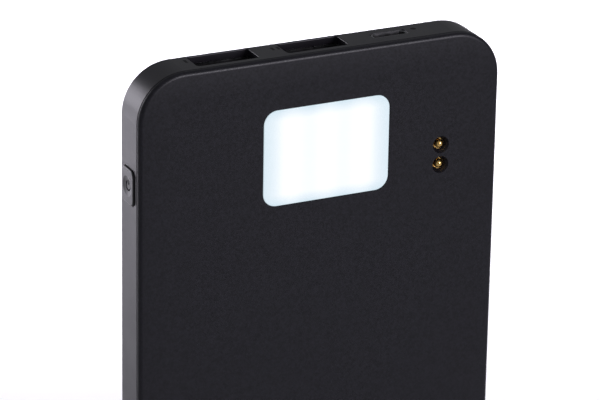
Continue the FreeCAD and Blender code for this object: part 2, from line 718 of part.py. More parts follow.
def spring_finger(shell, x, side):
    """Window in one broad face, with a finger bent inwards from its lower edge."""
    face = USB_DEPTH + side * (USB_SHELL[1] / 2 - USB_SHEET / 2)
    window_width, start, end = FINGER_WINDOW
    width, sheet, root, tip_gap = FINGER
    low, high = USB_REAR + start, USB_REAR + end
    window = block(x - window_width / 2, x + window_width / 2, face - USB_SHEET, face + USB_SHEET, low, high)
    finger = block(x - width / 2, x + width / 2, face - sheet / 2, face + sheet / 2,
                   low - root, high - tip_gap)
    finger.rotate(vec(x, face, low), FreeCAD.Vector(1, 0, 0), side * FINGER_BEND[side])
    return shell.cut(window).fuse(finger)


def usb_a_contacts(x):
    """Four contact strips that run from the tongue to the back of the board."""
    width, sheet = USB_CONTACT
    surface = TONGUE_DEPTH + TONGUE_THICKNESS + sheet / 2
    foot_start, foot_end = USB_REAR - USB_FOOT[0], USB_REAR - USB_FOOT[1]
    strips = []
    for offset in USB_CONTACT_X:
        left, right = x + offset - width / 2, x + offset + width / 2
        strip = block(left, right, surface - sheet, surface, foot_start - sheet,
                      TONGUE_TOP - TONGUE_BEVEL - SINK)
        foot = block(left, right, BOARD_BACK, BOARD_BACK + sheet, foot_end, foot_start)
        riser = block(left, right, BOARD_BACK, surface, foot_start - sheet, foot_start)
        strips.append(strip.fuse([foot, riser]).removeSplitter())
    return Part.makeCompound(strips)


def usb_a_tongue(x):
    """Plastic insert: a base block across the rear and the tongue that carries the contacts."""
    base_size = (USB_SHELL[0] - 2 * USB_SHEET - BOARD_GAP, USB_SHELL[1] - 2 * USB_SHEET - BOARD_GAP)
    base = plate_xy(base_size, USB_SHEET - BOARD_GAP / 2, USB_REAR + USB_SHEET, USB_REAR + TONGUE_BASE,
                    x, USB_DEPTH)
    half = TONGUE_WIDTH / 2
    tongue = block(x - half, x + half, TONGUE_DEPTH, TONGUE_DEPTH + TONGUE_THICKNESS,
                   USB_REAR + TONGUE_BASE / 2, TONGUE_TOP)
    tip = edges_within(tongue, (x - half - NEAR, 0, TONGUE_TOP - NEAR),
                       (x + half + NEAR, THICKNESS, TONGUE_TOP + NEAR))
    tongue = tongue.makeChamfer(TONGUE_BEVEL, [edge for edge in tip if edge.BoundBox.XLength > half])
    return base.fuse(tongue).removeSplitter().cut(usb_a_contacts(x))


def micro_profile(inset, z0, z1):
    """Prism of the micro-USB mouth, drawn in by an inset."""
    half, front, back = MICRO_SHELL[0] / 2 - inset, MICRO_FRONT + inset, MICRO_FRONT + MICRO_SHELL[1] - inset
    points = [(-half, front), (half, front), (half, back - MICRO_SLANT), (half - MICRO_SLANT, back),
              (-half + MICRO_SLANT, back), (-half, back - MICRO_SLANT)]
    corners = [vec(MICRO_X + x, depth, z0) for x, depth in points]
    face = Part.Face(Part.makePolygon(corners + corners[:1]))
    return face.extrude(FreeCAD.Vector(0, 0, z1 - z0))


def micro_usb_shell():
    """Micro-USB shell, open at its mouth, with solder wings on the board's back."""
    shell = round_edges(micro_profile(0.0, MICRO_REAR, MICRO_MOUTH), 2, MICRO_CORNER)
    shell = shell.cut(micro_profile(MICRO_SHEET, MICRO_REAR + MICRO_SHEET, MICRO_MOUTH + OVER))
    reach, low, high = MICRO_WING
    for side in (-1, 1):
        wall = MICRO_X + side * MICRO_SHELL[0] / 2
        edges = sorted((wall - side * MICRO_SHEET / 2, wall + side * reach))
        shell = shell.fuse(block(edges[0], edges[1], BOARD_BACK, BOARD_BACK + MICRO_SHEET,
                                 MICRO_REAR + low, MICRO_REAR + high))
    half = MICRO_TONGUE[0] / 2 - BOARD_GAP
    slot = block(MICRO_X - half, MICRO_X + half, BOARD_BACK - BOARD_GAP, MICRO_SURFACE + BOARD_GAP,
                 MICRO_REAR - OVER, MICRO_REAR + MICRO_SHEET + BOARD_GAP)
    return shell.cut(slot)


def micro_usb_contacts():
    """Five contact strips that run from the micro-USB tongue to the back of the board."""
    width, sheet = MICRO_CONTACT
    foot_start, foot_end = MICRO_REAR - MICRO_FOOT[0], MICRO_REAR - MICRO_FOOT[1]
    strips = []
    for index in range(MICRO_PINS):
        middle = MICRO_X + (index - (MICRO_PINS - 1) / 2) * MICRO_PITCH
        left, right = middle - width / 2, middle + width / 2
        strip = block(left, right, MICRO_SURFACE - sheet, MICRO_SURFACE, foot_start - sheet,
                      MICRO_MOUTH - MICRO_TONGUE[3] - SINK)
        foot = block(left, right, BOARD_BACK, BOARD_BACK + sheet, foot_end, foot_start)
        riser = block(left, right, BOARD_BACK, MICRO_SURFACE, foot_start - sheet, foot_start)
        strips.append(strip.fuse([foot, riser]).removeSplitter())
    return Part.makeCompound(strips)


def micro_usb_tongue():
    """Plastic insert of the micro-USB socket."""
    width, thickness, base_length, tip_gap = MICRO_TONGUE
    rear = MICRO_REAR + MICRO_SHEET
    base = micro_profile(MICRO_SHEET + PIN_GAP, rear, rear + base_length)
    tongue = block(MICRO_X - width / 2, MICRO_X + width / 2, MICRO_SURFACE - thickness, MICRO_SURFACE,
                   rear + base_length / 2, MICRO_MOUTH - tip_gap)
    return base.fuse(tongue).removeSplitter().cut(micro_usb_contacts())


# Spring contacts ---------------------------------------------------------------------------

def contact_pin(z):
    """Gold plunger: rounded tip, shaft and the collar that the barrel's mouth holds back."""
    radius = cap_radius(PIN_RADIUS, PIN_DOME)
    ball = Part.makeSphere(radius, vec(CONTACT_X, CONTACT_TIP + radius, z))
    body_start = CONTACT_TIP + PIN_DOME
    tip = ball.common(pin(PIN_RADIUS, CONTACT_X, z, CONTACT_TIP - SINK, body_start))
    shaft = pin(PIN_RADIUS, CONTACT_X, z, body_start, COLLAR_START + SINK)
    collar = pin(BARREL_BORE - PIN_GAP, CONTACT_X, z, COLLAR_START, COLLAR_START + COLLAR_LENGTH)
    return tip.fuse([shaft, collar]).removeSplitter()


def contact_barrel(z):
    """Barrel through the board, with a flange that rests on it and a crimped mouth."""
    reach, thickness = BARREL_FLANGE
    barrel = pin(BARREL_RADIUS, CONTACT_X, z, BARREL_MOUTH, BARREL_END)
    barrel = barrel.fuse(pin(BARREL_RADIUS + reach, CONTACT_X, z, BOARD_FRONT - thickness, BOARD_FRONT))
    barrel = barrel.cut(pin(BARREL_BORE, CONTACT_X, z, BARREL_MOUTH + BARREL_LIP, BARREL_END - BARREL_FLOOR))
    return barrel.cut(pin(PIN_RADIUS + PIN_GAP, CONTACT_X, z, 0, BARREL_MOUTH + BARREL_LIP + SINK))


def contact_spring(z):
    """Coil spring between the collar and the barrel's floor."""
    start = COLLAR_START + COLLAR_LENGTH + SPRING_WIRE
    length = BARREL_END - BARREL_FLOOR - SPRING_WIRE - start
    coil_radius = BARREL_BORE - SPRING_WIRE - SPRING_GAP
    helix = Part.makeHelix(length / SPRING_TURNS, length, coil_radius)
    start_point = FreeCAD.Vector(coil_radius, 0, 0)
    circle = Part.Wire(Part.makeCircle(SPRING_WIRE, start_point, FreeCAD.Vector(0, 1, 0)))
    coil = Part.Wire(helix).makePipeShell([circle], True, True)
    coil.rotate(FreeCAD.Vector(0, 0, 0), FreeCAD.Vector(1, 0, 0), -90)
    coil.translate(vec(CONTACT_X, start, z))
    return coil


# Power button and its switch ---------------------------------------------------------------

def icon_solid(x0, x1):
    """Power symbol: a ring open at the top with a bar in the gap."""
    def disc(radius):
        return rod(radius, x0, BUTTON_DEPTH, BUTTON_Z, x1 - x0, (1, 0, 0))

    def strip(half, low, high):
        return block(x0, x1, BUTTON_DEPTH - half, BUTTON_DEPTH + half, BUTTON_Z + low, BUTTON_Z + high)

    ring = disc(ICON_RADIUS).cut(disc(ICON_RADIUS - ICON_LINE))
    ring = ring.cut(strip(ICON_GAP / 2, 0.0, ICON_RADIUS + OVER))
    bar = strip(ICON_LINE / 2, ICON_LINE / 2, ICON_RADIUS + ICON_LINE / 2)
    return Part.makeCompound([ring, bar])


def power_button():
    """Button cap: a proud face with a dimple, a flange behind the wall and a pusher."""
    flange_x, flange_thickness, reach_y, reach_z = BUTTON_FLANGE
    cap = plate_yz(BUTTON_SIZE, BUTTON_CORNER, BUTTON_OUTER, flange_x + SINK, BUTTON_DEPTH, BUTTON_Z)
    outer = edges_within(cap, (BUTTON_OUTER - NEAR, 0, 0), (BUTTON_OUTER + NEAR, THICKNESS, HEIGHT))
    cap = cap.makeFillet(BUTTON_ROUND, outer)
    sphere = cap_radius(DIMPLE_RADIUS, DIMPLE_DEPTH)
    cap = cap.cut(Part.makeSphere(sphere, vec(BUTTON_OUTER + DIMPLE_DEPTH - sphere, BUTTON_DEPTH, BUTTON_Z)))
    flange = plate_yz((BUTTON_SIZE[0] + 2 * reach_y, BUTTON_SIZE[1] + 2 * reach_z), BUTTON_CORNER + reach_y,
                      flange_x, flange_x + flange_thickness, BUTTON_DEPTH, BUTTON_Z)
    start, end = flange_x + flange_thickness - SINK, SWITCH_X - PLUNGER_LENGTH - PUSHER_GAP
    pusher = rod(PUSHER_RADIUS, start, SWITCH_DEPTH, BUTTON_Z, end - start, (1, 0, 0))
    button = cap.fuse([flange, pusher]).removeSplitter()
    floor = BUTTON_OUTER + DIMPLE_DEPTH
    return button.cut(icon_solid(BUTTON_OUTER - OVER, floor + ICON_INLAY))


def power_icon():
    """Dark inlay of the power symbol in the floor of the button's dimple."""
    floor = BUTTON_OUTER + DIMPLE_DEPTH
    return icon_solid(floor, floor + ICON_INLAY)


def switch_body():
    """Side-acting switch on the back of the board, with pockets for its plunger and dome."""
    half = SWITCH_SIZE[2] / 2
    body = block(SWITCH_X, SWITCH_X + SWITCH_SIZE[0], BOARD_BACK, SWITCH_BACK,
                 BUTTON_Z - half, BUTTON_Z + half)
    half_y, half_z = PLUNGER[0] / 2 + PLUNGER_GAP, PLUNGER[1] / 2 + PLUNGER_GAP
    plunger_pocket = block(SWITCH_X - OVER, SWITCH_X + PLUNGER_POCKET,
                           SWITCH_DEPTH - half_y, SWITCH_DEPTH + half_y, BUTTON_Z - half_z, BUTTON_Z + half_z)
    dome_pocket = rod(DOME_RADIUS + NEAR, SWITCH_X + DOME_POCKET[0], SWITCH_DEPTH, BUTTON_Z,
                      DOME_POCKET[1] - DOME_POCKET[0], (1, 0, 0))
    return body.cut(plunger_pocket).cut(dome_pocket)


def switch_bracket():
    """Steel cover folded over the back and the two ends of the switch."""
    half = SWITCH_SIZE[2] / 2
    rear = SWITCH_X + SWITCH_SIZE[0]
    outer = block(SWITCH_X + BRACKET_INSET[0], rear - BRACKET_INSET[1],
                  BOARD_BACK, SWITCH_BACK + BRACKET_SHEET,
                  BUTTON_Z - half - BRACKET_SHEET, BUTTON_Z + half + BRACKET_SHEET)
    inner = block(SWITCH_X - OVER, rear + OVER, BOARD_BACK - OVER, SWITCH_BACK,
                  BUTTON_Z - half, BUTTON_Z + half)
    return outer.cut(inner)


def switch_plunger():
    """Plunger that the button's pusher presses."""
    depth, height, rounding = PLUNGER
    plunger = block(SWITCH_X - PLUNGER_LENGTH, SWITCH_X + PLUNGER_ROOT, SWITCH_DEPTH - depth / 2,
                    SWITCH_DEPTH + depth / 2, BUTTON_Z - height / 2, BUTTON_Z + height / 2)
    return round_edges(plunger, 0, rounding)


def switch_dome():
    """Snap dome behind the plunger."""
    radius = cap_radius(DOME_RADIUS, DOME_RISE)
    centre = vec(DOME_FLOOR - DOME_RISE + radius, SWITCH_DEPTH, BUTTON_Z)
    dome = Part.makeSphere(radius, centre).cut(Part.makeSphere(radius - DOME_SHEET, centre))
    reach = 2 * DOME_RISE
    return dome.common(rod(DOME_RADIUS, DOME_FLOOR - reach, SWITCH_DEPTH, BUTTON_Z, reach, (1, 0, 0)))


# Battery -----------------------------------------------------------------------------------

def battery_cell():
    """Lithium pouch cell: a soft-edged pouch with a thin sealed ledge at its top."""
    width, thickness, height = CELL_SIZE
    top = CELL_LOW + height
    pouch = block(-width / 2, width / 2, CELL_FRONT, CELL_FRONT + thickness, CELL_LOW, top)
    pouch = round_edges(pouch, 2, CELL_EDGE)
    foot = edges_within(pouch, (-width, 0, CELL_LOW - NEAR), (width, THICKNESS, CELL_LOW + NEAR))
    pouch = pouch.makeFillet(CELL_FOOT_EDGE, foot)
    ledge = block(-width / 2 + LEDGE_INSET, width / 2 - LEDGE_INSET, LEDGE_DEPTH[0], LEDGE_DEPTH[1],
                  top - SINK, GUARD_LOW + GUARD_HEIGHT + BOARD_GAP)
    return pouch.fuse(ledge)


def cell_tabs():
    """Nickel tabs that fold from the ledge on to the protection board."""
    top = GUARD_LOW + GUARD_HEIGHT
    front, back = GUARD_DEPTH[0] - TAB_SHEET, LEDGE_DEPTH[1] + TAB_SHEET
    tabs = []
    for x in TAB_X:
        left, right = x - TAB_WIDTH / 2, x + TAB_WIDTH / 2
        rear = block(left, right, LEDGE_DEPTH[1], back, top - TAB_REAR, top + TAB_RISE)
        bridge = block(left, right, front, back, top + TAB_RISE - TAB_SHEET, top + TAB_RISE)
        face = block(left, right, front, GUARD_DEPTH[0], top - TAB_FRONT, top + TAB_RISE)
        tabs.append(rear.fuse([bridge, face]).removeSplitter())
    return Part.makeCompound(tabs)


def cell_protection_board():
    """Narrow board that guards the cell."""
    return block(-GUARD_HALF, GUARD_HALF, GUARD_DEPTH[0], GUARD_DEPTH[1], GUARD_LOW, GUARD_LOW + GUARD_HEIGHT)


def protection_chips():
    """Switching transistors and their controller, on the front of the protection board."""
    width, depth, height = GUARD_CHIP
    middle, front = GUARD_LOW + GUARD_HEIGHT / 2, GUARD_DEPTH[0]
    return Part.makeCompound([block(x - width / 2, x + width / 2, front - depth, front,
                                    middle - height / 2, middle + height / 2) for x in GUARD_CHIPS_X])


def cell_tape():
    """Yellow film tape over the protection board's front, short of the tabs."""
    width, gap, thickness = TAPE
    back = GUARD_DEPTH[0] - gap
    return block(-width / 2, width / 2, back - thickness, back, CELL_LOW + CELL_SIZE[2] + BOARD_GAP,
                 GUARD_LOW + GUARD_HEIGHT)


def cell_adhesive():
    """Foam tape between the cell and the back of the shell."""
    half_x = CELL_SIZE[0] / 2 - ADHESIVE_INSET
    return block(-half_x, half_x, CELL_FRONT + CELL_SIZE[1], INSIDE_BACK, CELL_LOW + ADHESIVE_INSET,
                 CELL_LOW + CELL_SIZE[2] - ADHESIVE_INSET)


def lead_points(name):
    """Corners of a battery lead's route, from the protection board up to the main board."""
    x = LEAD_X[name]
    swung = x + LEAD_SIDE[name] * LEAD_SWING
    depth = GUARD_DEPTH[1] + LEAD_RADIUS
    places = zip((x, x, swung, swung), LEAD_HEIGHTS)
    return [vec(place, depth, GUARD_LOW + height) for place, height in places]


def lead_tube(name):
    """Round lead along its route: straight runs joined by tangent arcs."""
    points = lead_points(name)
    edges = []
    start = points[0]
    for before, corner, after in zip(points, points[1:], points[2:]):
        into = corner.sub(before).normalize()
        out = after.sub(corner).normalize()
        half_turn = into.getAngle(out) / 2
        setback = LEAD_BEND * math.tan(half_turn)
        arc_start = corner.sub(into * setback)
        arc_end = corner.add(out * setback)
        inward = out.sub(into).normalize()
        arc_middle = corner.add(inward * (LEAD_BEND / math.cos(half_turn) - LEAD_BEND))
        edges.append(Part.LineSegment(start, arc_start).toShape())
        edges.append(Part.Arc(arc_start, arc_middle, arc_end).toShape())
        start = arc_end
    edges.append(Part.LineSegment(start, points[-1]).toShape())
    circle = Part.Wire(Part.makeCircle(LEAD_RADIUS, points[0], points[1].sub(points[0])))
    return Part.Wire(edges).makePipeShell([circle], True, True)


def lead_joints():
    """Solder joints at the four lead ends, each moulded round its lead."""
    joints = []
    for name in LEAD_X:
        points = lead_points(name)
        tube = lead_tube(name)
        low, high = points[0], points[-1]
        joints.append(solder_blob(low.x, low.z, GUARD_DEPTH[1]).cut(tube))
        joints.append(solder_blob(high.x, high.z, BOARD_BACK).cut(tube))
    return Part.makeCompound(joints)


def solder_blob(x, z, surface):
    """Flattened dome of solder on a board's back surface."""
    top = GUARD_DEPTH[1] + 2 * LEAD_RADIUS
    ball = Part.makeSphere(SOLDER_RADIUS, vec(x, surface, z))
    reach = SOLDER_RADIUS + OVER
    return ball.common(block(x - reach, x + reach, surface, top, z - reach, z + reach))


# Write every sub-part ----------------------------------------------------------------------

SINGLE_PARTS = (
    rear_shell, front_cover, lamp_diffuser, lamp_reflector, lamp_leds, lamp_phosphor, main_board,
    board_screws, power_inductors, controller_chips, chip_leads, ceramic_capacitors,
    tantalum_capacitors, micro_usb_shell, micro_usb_tongue, micro_usb_contacts, power_button,
    power_icon, switch_body, switch_bracket, switch_plunger, switch_dome, battery_cell, cell_tabs,
    cell_protection_board, protection_chips, cell_tape, cell_adhesive, lead_joints)

for make in SINGLE_PARTS:
    save(make.__name__, make())
save("port_marks", Part.makeCompound(mark_solids()))
for number, socket_x in enumerate(USB_X, start=1):
    save("usb_a_shell_%d" % number, usb_a_shell(socket_x))
    save("usb_a_tongue_%d" % number, usb_a_tongue(socket_x))
    save("usb_a_contacts_%d" % number, usb_a_contacts(socket_x))
for contact_name, contact_z in zip(CONTACT_NAMES, CONTACT_Z):
    save("contact_pin_" + contact_name, contact_pin(contact_z))
    save("contact_barrel_" + contact_name, contact_barrel(contact_z))
    save("contact_spring_" + contact_name, contact_spring(contact_z))
for lead_name in LEAD_X:
    save("battery_lead_" + lead_name, lead_tube(lead_name))
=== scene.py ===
import json
import math

import bpy
from mathutils import Matrix, Vector


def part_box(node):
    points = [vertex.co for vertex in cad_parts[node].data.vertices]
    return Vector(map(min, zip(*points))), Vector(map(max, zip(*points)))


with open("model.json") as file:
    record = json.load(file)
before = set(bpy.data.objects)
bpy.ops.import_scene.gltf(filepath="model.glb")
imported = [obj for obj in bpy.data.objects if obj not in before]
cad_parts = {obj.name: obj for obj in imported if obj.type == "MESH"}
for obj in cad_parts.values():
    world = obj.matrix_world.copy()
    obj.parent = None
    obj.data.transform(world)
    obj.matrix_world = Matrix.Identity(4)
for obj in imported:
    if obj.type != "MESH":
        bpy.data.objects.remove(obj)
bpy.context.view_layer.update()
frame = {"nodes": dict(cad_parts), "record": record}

# Looks of a slim power bank: satin rear shell, finely textured front cover, lit lamp window,
# gold spring contacts and socket openings. Lengths are metres and angles degrees, except that
# the lens and its sensor are millimetres.

MM = 0.001

# Camera: it aims at a point just below the lamp, from the front, the left and a little above.
CAMERA_TARGET = Vector((0.0, 0.25 * MM, 105.0 * MM))
CAMERA_TURN = 26.127
CAMERA_DROP = 22.241
CAMERA_ROLL = 1.030
CAMERA_DISTANCE = 760.8 * MM
CAMERA_LENS = 228.09
CAMERA_SHIFT = (-0.0162, 0.0564)
CAMERA_SENSOR = 36.0
CAMERA_CLIP = (0.01, 20.0)

# Studio
FLOOR_SIZE = 6.0
FLOOR_GAP = 0.05 * MM
FLOOR_COLOUR = (0.91, 0.91, 0.915)
BACKDROP_COLOUR = (1.0, 1.0, 1.0)
ROOM_COLOUR = (0.94, 0.96, 1.0)
ROOM_LIGHT = 0.25
LIGHT_COLOUR = (0.98, 0.945, 1.05)

# Each light: place, target, size, radiance at full spread, and spread. A narrower spread
# gathers the same power into a brighter cone.
FLOOR_LIGHT = ((0.06, 0.52, 0.52), (0.06, 0.52, 0.0), (1.3, 0.54), 2.5, 66.0)
BACK_LEFT_LIGHT = ((-0.66, 1.02, 0.28), (0.0, 0.0, 0.13), (0.50, 0.48), 6.3, 180.0)
FRONT_LIGHT = ((0.36, -0.82, 0.34), (0.0, 0.0, 0.12), (0.34, 0.40), 0.75, 40.0)
RIGHT_LIGHT = ((0.34, 0.13, 0.42), (0.34, 0.13, 0.0), (0.44, 0.16), 1.6, 62.0)

# Lamp: the flange is the diffuser's hidden rim. The glow adds up soft columns, a fade towards
# the window's edge and a faint cloudiness. It goes from LAMP_EDGE to LAMP_MIDDLE as that sum
# rises through LAMP_LEVELS.
LED_WIDTH = 2.8 * MM
FLANGE_REACH = 1.45 * MM
FADE_ACROSS = 4.2 * MM
FADE_UPWARD = 2.4 * MM
FADE_SHARE = 0.62
COLUMN_SHARE = 0.16
LAMP_CLOUD = 0.012
LAMP_LEVELS = (0.05, 0.85)
LAMP_EDGE = (0.48, 0.60, 0.66)
LAMP_MIDDLE = (0.86, 0.86, 0.86)
PHOSPHOR_GLOW = 1.5


# Node helpers ------------------------------------------------------------------------------

def add(tree, kind, **inputs):
    """New shader node with some of its inputs set. Underscores in a name stand for spaces."""
    node = tree.nodes.new("ShaderNode" + kind)
    for name, value in inputs.items():
        node.inputs[name.replace("_", " ")].default_value = value
    return node


def material(name, base, roughness, metallic=0.0, specular=0.5):
    """Principled material at its average values, and the tree and shader to build patterns on."""
    made = bpy.data.materials.new(name)
    made.use_nodes = True
    tree = made.node_tree
    shader = tree.nodes["Principled BSDF"]
    shader.inputs["Base Color"].default_value = (*base, 1.0)
    shader.inputs["Roughness"].default_value = roughness
    shader.inputs["Metallic"].default_value = metallic
    shader.inputs["Specular IOR Level"].default_value = specular
    return made, tree, shader


def coordinates(tree, squeeze=(1.0, 1.0, 1.0)):
    """Place on the object in metres, times a factor along each axis: above 1 is finer."""
    source = add(tree, "TexCoord")
    scale = add(tree, "Mapping", Scale=squeeze)
    tree.links.new(source.outputs["Object"], scale.inputs["Vector"])
    return scale.outputs["Vector"]


def noise(tree, size, detail=2.0, squeeze=(1.0, 1.0, 1.0)):
    """Cloudy pattern from 0 to 1 with features of about one size."""
    node = add(tree, "TexNoise", Scale=1.0 / size, Detail=detail)
    tree.links.new(coordinates(tree, squeeze), node.inputs["Vector"])
    return node.outputs["Fac"]


def cells(tree, size):
    """Distance to the nearest of scattered points, about one size apart."""
    node = add(tree, "TexVoronoi", Scale=1.0 / size)
    tree.links.new(coordinates(tree), node.inputs["Vector"])
    return node.outputs["Distance"]


def remap(tree, value, low, high, start=0.3, end=0.7):
    """Maps a pattern's middle range on to a new range."""
    node = add(tree, "MapRange", From_Min=start, From_Max=end, To_Min=low, To_Max=high)
    tree.links.new(value, node.inputs["Value"])
    return node.outputs["Result"]


def math_node(tree, operation, first, second=None):
    """One step of arithmetic on node outputs or numbers."""
    node = add(tree, "Math")
    node.operation = operation
    for index, value in enumerate((first, second)):
        if value is None:
            continue
        if isinstance(value, (int, float)):
            node.inputs[index].default_value = value
        else:
            tree.links.new(value, node.inputs[index])
    return node.outputs["Value"]


def blend(tree, value, first, second, start=0.35, end=0.65):
    """Colour that runs between two colours as a pattern rises."""
    ramp = add(tree, "ValToRGB")
    ramp.color_ramp.elements[0].position = start
    ramp.color_ramp.elements[0].color = (*first, 1.0)
    ramp.color_ramp.elements[1].position = end
    ramp.color_ramp.elements[1].color = (*second, 1.0)
    tree.links.new(value, ramp.inputs["Fac"])
    return ramp.outputs["Color"]


def relief(tree, shader, height, depth, below=None):
    """Bumps the surface by a pattern, on top of an earlier bump if one is given."""
    bump = add(tree, "Bump", Strength=1.0, Distance=depth)
    tree.links.new(height, bump.inputs["Height"])
    if below is not None:
        tree.links.new(below, bump.inputs["Normal"])
    tree.links.new(bump.outputs["Normal"], shader.inputs["Normal"])
    return bump.outputs["Normal"]


def scaled(colour, factor):
    """Lighter or darker shade of a colour."""
    return tuple(min(1.0, channel * factor) for channel in colour)


def mottle(tree, shader, base, value, shades, rough):
    """Lets a pattern change the colour between two shades of its base, and the roughness too."""
    dark, light = (scaled(base, shade) for shade in shades)
    tree.links.new(blend(tree, value, dark, light), shader.inputs["Base Color"])
    tree.links.new(remap(tree, value, *rough), shader.inputs["Roughness"])


# Outside plastics --------------------------------------------------------------------------

def shell_plastic():
    """Satin moulded plastic of the rear shell, with faint flow marks and a very fine grain."""
    base = (0.0118, 0.0104, 0.0145)
    made, tree, shader = material("shell_plastic", base, 0.36, specular=0.38)
    mottle(tree, shader, base, noise(tree, 9 * MM, detail=3.0), shades=(0.88, 1.12), rough=(0.33, 0.40))
    coarse = relief(tree, shader, noise(tree, 2.2 * MM), depth=0.004 * MM)
    relief(tree, shader, noise(tree, 0.16 * MM), depth=0.0035 * MM, below=coarse)
    return made


def cover_plastic():
    """Fine spark-eroded texture of the front cover."""
    base = (0.0062, 0.0058, 0.0096)
    made, tree, shader = material("cover_plastic", base, 0.40, specular=0.34)
    mottle(tree, shader, base, noise(tree, 0.5 * MM, detail=3.0), shades=(0.7, 1.3), rough=(0.35, 0.45))
    coarse = relief(tree, shader, noise(tree, 6 * MM), depth=0.010 * MM)
    relief(tree, shader, noise(tree, 0.45 * MM, detail=3.0), depth=0.006 * MM, below=coarse)
    return made


def button_plastic():
    """Plastic of the button, smoother in patches from use."""
    base = (0.0125, 0.0123, 0.0135)
    made, tree, shader = material("button_plastic", base, 0.34, specular=0.38)
    mottle(tree, shader, base, noise(tree, 1.5 * MM, detail=3.0), shades=(0.85, 1.15), rough=(0.28, 0.38))
    relief(tree, shader, noise(tree, 0.16 * MM), depth=0.0035 * MM)
    return made


def mark_print():
    """Small dark printed marks, slightly uneven."""
    base = (0.006, 0.006, 0.007)
    made, tree, shader = material("mark_print", base, 0.7, specular=0.3)
    mottle(tree, shader, base, noise(tree, 0.2 * MM, detail=3.0), shades=(0.7, 1.6), rough=(0.6, 0.75))
    relief(tree, shader, noise(tree, 0.12 * MM), depth=0.01 * MM)
    return made


def icon_ink():
    """Black ink of the button's symbol."""
    base = (0.0035, 0.0035, 0.004)
    made, tree, shader = material("icon_ink", base, 0.9, specular=0.05)
    mottle(tree, shader, base, noise(tree, 0.25 * MM, detail=3.0), shades=(0.7, 1.5), rough=(0.84, 0.96))
    relief(tree, shader, noise(tree, 0.1 * MM), depth=0.004 * MM)
    return made


# Lamp --------------------------------------------------------------------------------------

def axis_value(tree, axis, centre):
    """Distance along one axis from a centre, in metres."""
    split = add(tree, "SeparateXYZ")
    tree.links.new(coordinates(tree), split.inputs["Vector"])
    return math_node(tree, "SUBTRACT", split.outputs[axis], centre)


def edge_fade(tree, distance, half, reach):
    """1 in the middle, falling to 0 at the window's edge."""
    inside = math_node(tree, "SUBTRACT", half, math_node(tree, "ABSOLUTE", distance))
    return remap(tree, inside, 0.0, 1.0, start=0.0, end=reach)


def column_pitch():
    """Distance between the LED columns, from the CAD."""
    low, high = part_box("lamp_leds")
    return (high.x - low.x - LED_WIDTH) / 2


def opal_diffuser():
    """Opal plastic lit by three columns of LEDs, cooler and dimmer round its rim."""
    made, tree, shader = material("opal_diffuser", (0.28, 0.30, 0.31), 0.32)
    low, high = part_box("lamp_diffuser")
    centre = (low + high) / 2
    across = axis_value(tree, "X", centre.x)
    upward = axis_value(tree, "Z", centre.z)
    turn = math_node(tree, "MULTIPLY", across, 2 * math.pi / column_pitch())
    wave = math_node(tree, "COSINE", turn)
    bands = remap(tree, wave, 0.0, 1.0, start=-1.0, end=1.0)
    half_x = (high.x - low.x) / 2 - FLANGE_REACH
    half_z = (high.z - low.z) / 2 - FLANGE_REACH
    fade_x = edge_fade(tree, across, half_x, FADE_ACROSS)
    fade_z = edge_fade(tree, upward, half_z, FADE_UPWARD)
    fade = math_node(tree, "MULTIPLY", fade_x, fade_z)
    cloud = remap(tree, noise(tree, 2.5 * MM), -LAMP_CLOUD, LAMP_CLOUD)
    columns = math_node(tree, "MULTIPLY", bands, COLUMN_SHARE)
    middle = math_node(tree, "MULTIPLY", fade, FADE_SHARE)
    level = math_node(tree, "ADD", columns, middle)
    level = math_node(tree, "ADD", level, cloud)
    colour = blend(tree, level, LAMP_EDGE, LAMP_MIDDLE, *LAMP_LEVELS)
    tree.links.new(colour, shader.inputs["Emission Color"])
    shader.inputs["Emission Strength"].default_value = 1.0
    relief(tree, shader, noise(tree, 0.8 * MM), depth=0.002 * MM)
    return made


def phosphor():
    """Yellow phosphor of the LEDs, lit."""
    base = (0.95, 0.72, 0.12)
    made, tree, shader = material("phosphor", base, 0.4)
    grain = noise(tree, 0.2 * MM, detail=3.0)
    mottle(tree, shader, base, grain, shades=(0.8, 1.0), rough=(0.35, 0.5))
    glow = blend(tree, grain, (1.0, 0.78, 0.35), (1.0, 0.95, 0.7))
    tree.links.new(glow, shader.inputs["Emission Color"])
    shader.inputs["Emission Strength"].default_value = PHOSPHOR_GLOW
    return made


def white_plastic():
    """White moulded plastic of the reflector, LED housings and switch plunger."""
    base = (0.80, 0.80, 0.77)
    made, tree, shader = material("white_plastic", base, 0.35)
    mottle(tree, shader, base, noise(tree, 1.6 * MM, detail=3.0), shades=(0.93, 1.0), rough=(0.3, 0.42))
    relief(tree, shader, noise(tree, 0.3 * MM), depth=0.004 * MM)
    return made


# Metals ------------------------------------------------------------------------------------

def gold_plate():
    """Polished gold plating with fine turning streaks and handling haze."""
    base = (0.93, 0.60, 0.20)
    made, tree, shader = material("gold_plate", base, 0.09, metallic=1.0)
    mottle(tree, shader, base, noise(tree, 0.5 * MM, detail=3.0), shades=(0.86, 1.0), rough=(0.06, 0.14))
    relief(tree, shader, noise(tree, 0.12 * MM, squeeze=(1.0, 6.0, 1.0)), depth=0.002 * MM)
    return made


def tin_plate():
    """Tin-plated steel sheet, a little cloudy, with faint rolling lines."""
    # The base is much darker than bare tin: painted shade for the inside of the sockets, partly also
    # standing in for their black plastic.
    base = (0.26, 0.26, 0.27)
    made, tree, shader = material("tin_plate", base, 0.3, metallic=1.0)
    mottle(tree, shader, base, noise(tree, 1.2 * MM, detail=4.0), shades=(0.82, 1.0), rough=(0.24, 0.42))
    relief(tree, shader, noise(tree, 0.2 * MM, squeeze=(8.0, 1.0, 0.6)), depth=0.003 * MM)
    return made


def spring_steel():
    """Bright drawn steel of the springs and the dome."""
    base = (0.52, 0.52, 0.53)
    made, tree, shader = material("spring_steel", base, 0.25, metallic=1.0)
    mottle(tree, shader, base, noise(tree, 0.6 * MM, detail=3.0), shades=(0.8, 1.0), rough=(0.2, 0.34))
    relief(tree, shader, noise(tree, 0.08 * MM), depth=0.001 * MM)
    return made


